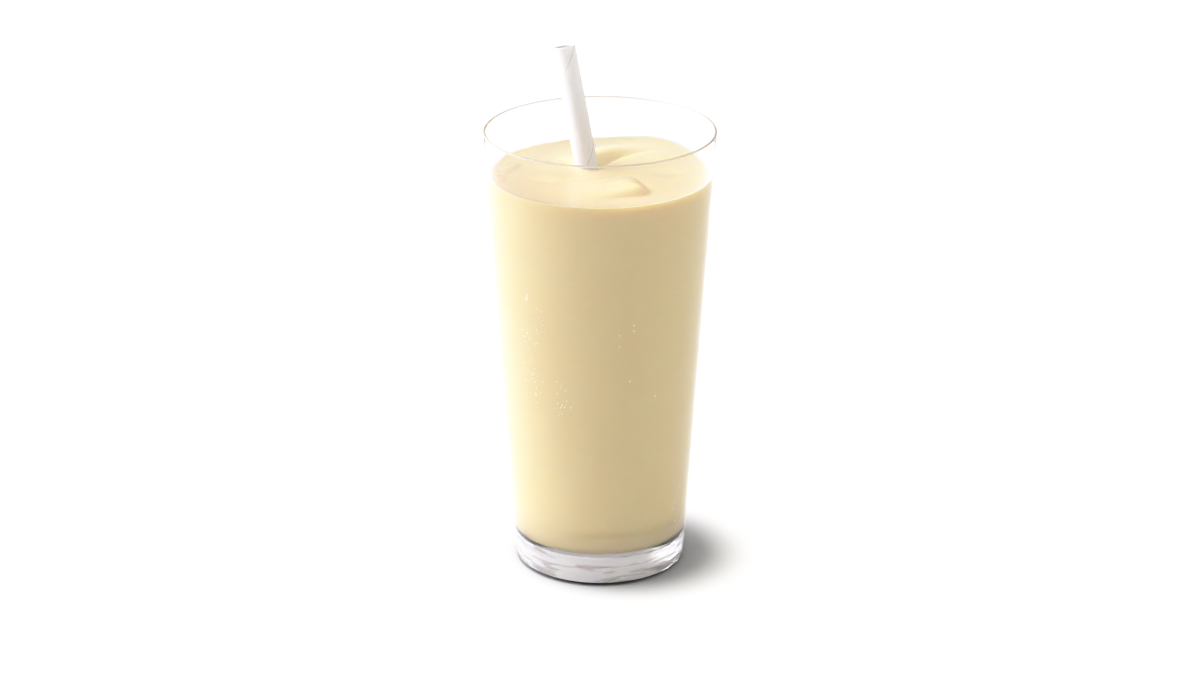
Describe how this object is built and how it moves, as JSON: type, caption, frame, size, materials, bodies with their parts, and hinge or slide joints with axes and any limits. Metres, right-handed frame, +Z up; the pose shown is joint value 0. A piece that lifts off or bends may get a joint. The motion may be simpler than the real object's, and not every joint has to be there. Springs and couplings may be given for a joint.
{
  "type": "milkshake",
  "caption": "Pale vanilla milkshake with a swirled top in a tall tapered clear glass tumbler, with a white paper straw leaning in it.",
  "frame": {"origin": "centre of the tumbler's foot, on the surface it stands on", "axes": "+Z up along the tumbler's axis; -Y towards the viewer of the picture, so the straw leans towards -X and +Y"},
  "size_m": [0.084, 0.084, 0.1937],
  "materials": {
    "glass": "clear and polished",
    "milkshake": "thick, opaque and wet",
    "straw": "matt, spirally wound"
  },
  "bodies": {
    "root": {"glass": "glass", "milkshake": "milkshake", "straw": "straw"}
  },
  "joints": []
}
